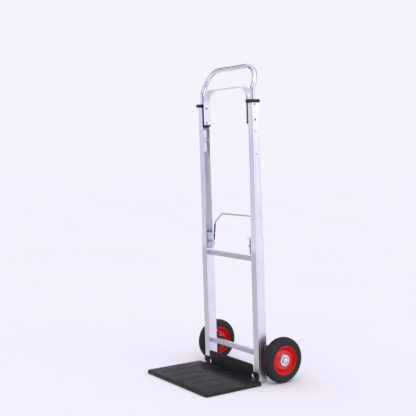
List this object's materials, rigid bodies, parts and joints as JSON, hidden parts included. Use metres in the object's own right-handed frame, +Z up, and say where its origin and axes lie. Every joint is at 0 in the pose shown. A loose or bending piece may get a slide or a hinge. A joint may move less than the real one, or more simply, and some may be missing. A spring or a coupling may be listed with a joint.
{
  "type": "hand truck",
  "caption": "Folding hand truck with a telescoping aluminium frame, chrome loop grip, black folding toe plate, wire release bail and red-rimmed wheels.",
  "frame": {"origin": "middle of the footprint on the floor: centre of the bounding box's underside", "axes": "+Z up, -Y the way the toe plate points (front), +X the right side when seen from the front"},
  "size_m": [0.482, 0.453, 1.2514],
  "materials": {
    "anodised_aluminium": "satin anodised, drawn lines along the length",
    "chrome_tube": "bright chrome plated steel tube",
    "zinc_plate": "blue-white zinc plated pressed steel",
    "black_powder_coat": "satin black powder coat on pressed steel",
    "black_plastic": "moulded black polypropylene",
    "red_rim": "gloss red enamel on pressed steel",
    "tyre_rubber": "solid moulded rubber",
    "nylon": "natural moulded nylon"
  },
  "bodies": {
    "lower_frame": {"left_lower_rail": "anodised_aluminium", "right_lower_rail": "anodised_aluminium", "left_rail_foot": "nylon", "right_rail_foot": "nylon", "left_lock_housing": "zinc_plate", "right_lock_housing": "zinc_plate", "left_lock_spring": "zinc_plate", "right_lock_spring": "zinc_plate", "left_wheel_hinge": "black_powder_coat", "right_wheel_hinge": "black_powder_coat", "left_swing_pin": "zinc_plate", "right_swing_pin": "zinc_plate", "upper_crossbar": "anodised_aluminium", "lower_crossbar": "anodised_aluminium", "base_plate": "black_powder_coat", "toe_hinge_rod": "zinc_plate"},
    "upper_frame": {"left_upper_rail": "anodised_aluminium", "right_upper_rail": "anodised_aluminium", "left_slide_shoe": "nylon", "right_slide_shoe": "nylon", "left_rail_cap": "black_plastic", "right_rail_cap": "black_plastic", "left_grip_clamp": "zinc_plate", "right_grip_clamp": "zinc_plate", "left_lower_handle_rivet": "zinc_plate", "right_lower_handle_rivet": "zinc_plate", "left_upper_handle_rivet": "zinc_plate", "right_upper_handle_rivet": "zinc_plate", "left_upper_striker": "zinc_plate", "right_upper_striker": "zinc_plate", "left_lower_striker": "zinc_plate", "right_lower_striker": "zinc_plate", "handle_tube": "chrome_tube", "arch_brace": "anodised_aluminium"},
    "release_bail": {"bail_wire": "zinc_plate", "left_bail_sleeve": "black_plastic", "right_bail_sleeve": "black_plastic", "left_release_cam": "zinc_plate", "right_release_cam": "zinc_plate"},
    "toe_plate": {"toe_plate": "black_powder_coat"},
    "left_lock_pin": {"left_lock_pin": "zinc_plate"},
    "left_wheel_arm": {"left_wheel_arm": "black_powder_coat", "left_stub_axle": "zinc_plate", "left_axle_washer": "zinc_plate", "left_axle_cap": "zinc_plate"},
    "left_wheel": {"left_tyre": "tyre_rubber", "left_outer_rim": "red_rim", "left_inner_rim": "red_rim", "left_wheel_hub": "zinc_plate", "left_wheel_bush": "nylon"},
    "right_lock_pin": {"right_lock_pin": "zinc_plate"},
    "right_wheel_arm": {"right_wheel_arm": "black_powder_coat", "right_stub_axle": "zinc_plate", "right_axle_washer": "zinc_plate", "right_axle_cap": "zinc_plate"},
    "right_wheel": {"right_tyre": "tyre_rubber", "right_outer_rim": "red_rim", "right_inner_rim": "red_rim", "right_wheel_hub": "zinc_plate", "right_wheel_bush": "nylon"}
  },
  "joints": [
    {"name": "frame_slide", "type": "slide", "parent": "lower_frame", "child": "upper_frame", "axis": [0, 0.0384, -0.9993], "range_m": [0, 0.416]},
    {"name": "bail_tilt", "type": "hinge", "parent": "lower_frame", "child": "release_bail", "pos_m": [0, 0.06232, 0.51283], "axis": [-1, 0, 0], "range_deg": [0, 35], "stiffness_Nm_per_rad": 0.25, "springref_deg": -34.38},
    {"name": "toe_fold", "type": "hinge", "parent": "lower_frame", "child": "toe_plate", "pos_m": [0, 0.0365, 0.008], "axis": [-1, 0, 0], "range_deg": [0, 87.8]},
    {"name": "left_pin_slide", "type": "slide", "parent": "lower_frame", "child": "left_lock_pin", "axis": [1, 0, 0], "range_m": [0, 0.0091], "deforming": ["left_lock_spring"]},
    {"name": "left_arm_swing", "type": "hinge", "parent": "lower_frame", "child": "left_wheel_arm", "pos_m": [-0.165, 0.09908, 0.08993], "axis": [0, 0.0384, -0.9993], "range_deg": [0, 90.2]},
    {"name": "left_wheel_spin", "type": "hinge", "parent": "left_wheel_arm", "child": "left_wheel", "pos_m": [-0.2175, 0.1365, 0.09], "axis": [1, 0, 0], "continuous": true},
    {"name": "right_pin_slide", "type": "slide", "parent": "lower_frame", "child": "right_lock_pin", "axis": [-1, 0, 0], "range_m": [0, 0.0091], "deforming": ["right_lock_spring"]},
    {"name": "right_arm_swing", "type": "hinge", "parent": "lower_frame", "child": "right_wheel_arm", "pos_m": [0.165, 0.09908, 0.08993], "axis": [0, -0.0384, 0.9993], "range_deg": [0, 90.2]},
    {"name": "right_wheel_spin", "type": "hinge", "parent": "right_wheel_arm", "child": "right_wheel", "pos_m": [0.2175, 0.1365, 0.09], "axis": [1, 0, 0], "continuous": true}
  ],
  "couplings": [
    {"joint": "left_pin_slide", "follows": "bail_tilt", "m_per_rad": 0.0147},
    {"joint": "right_pin_slide", "follows": "bail_tilt", "m_per_rad": 0.0147},
    {"joint": "left_arm_swing", "follows": "toe_fold", "ratio": 1.025},
    {"joint": "right_arm_swing", "follows": "toe_fold", "ratio": 1.025}
  ]
}
